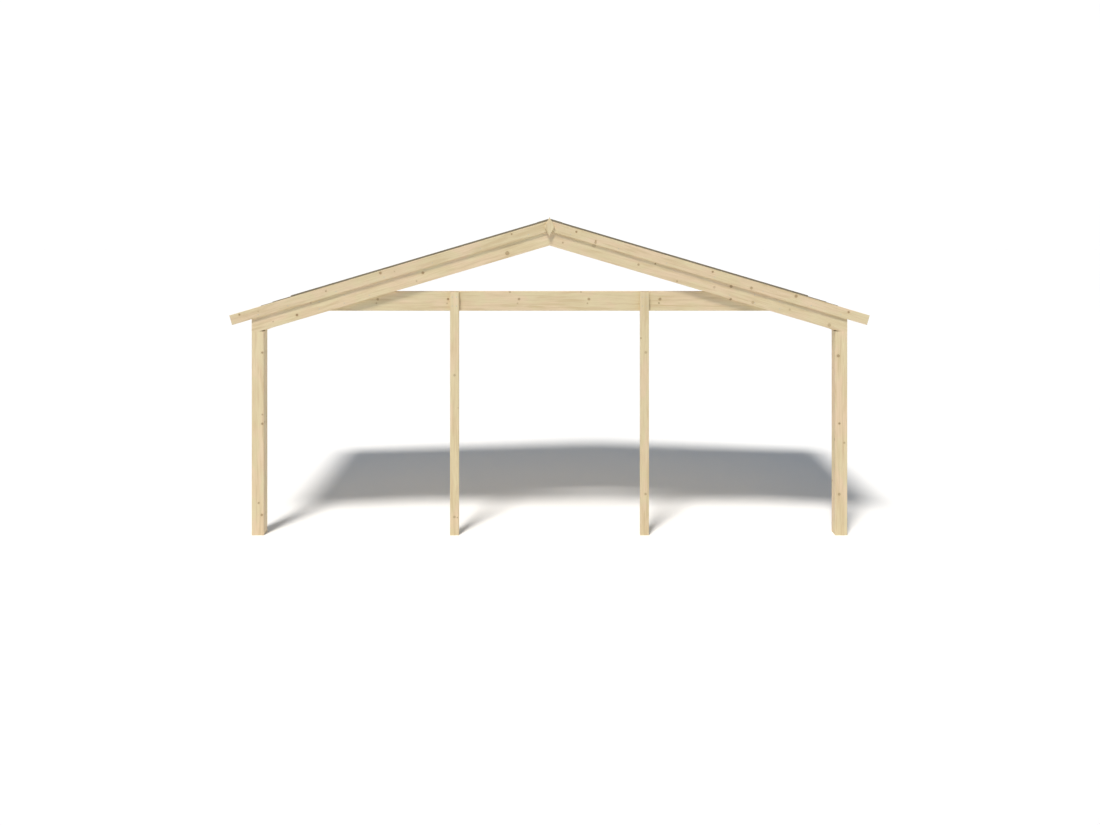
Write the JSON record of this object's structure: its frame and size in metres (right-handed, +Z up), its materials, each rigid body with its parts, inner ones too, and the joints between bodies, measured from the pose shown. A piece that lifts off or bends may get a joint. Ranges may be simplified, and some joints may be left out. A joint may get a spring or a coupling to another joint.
{
  "type": "attached patio cover",
  "caption": "Wall-mounted timber patio cover with a low-pitched gable roof of boards and felt, carried by square posts, a tie beam, rafters and purlins.",
  "frame": {"origin": "on the back face of the wall rafters, at the middle of their half-lapped ridge joint, 2.970 m above the posts' feet", "axes": "+X along the wall to the right as seen from the garden, +Y into the wall, +Z up; the front gable faces -Y"},
  "size_m": [6.3868, 2.188, 3.179],
  "materials": {
    "timber": "planed, untreated spruce",
    "roof_boards": "planed, untreated spruce",
    "felt": "matt mineral felt"
  },
  "bodies": {
    "root": {"barge_board_left": "timber", "barge_board_right": "timber", "eave_board_left": "timber", "eave_board_right": "timber", "eave_purlin_left": "timber", "eave_purlin_right": "timber", "felt_laths_left": "timber", "felt_laths_right": "timber", "gable_rafter_left": "timber", "gable_rafter_right": "timber", "post_inner_left": "timber", "post_inner_right": "timber", "post_outer_left": "timber", "post_outer_right": "timber", "purlin_lower_left": "timber", "purlin_lower_right": "timber", "purlin_upper_left": "timber", "purlin_upper_right": "timber", "ridge_diamond": "timber", "ridge_felt": "felt", "ridge_purlin": "timber", "roof_deck_left": "roof_boards", "roof_deck_right": "roof_boards", "roof_felt_left": "felt", "roof_felt_right": "felt", "tie_beam": "timber", "wall_rafter_left": "timber", "wall_rafter_right": "timber"}
  },
  "joints": []
}
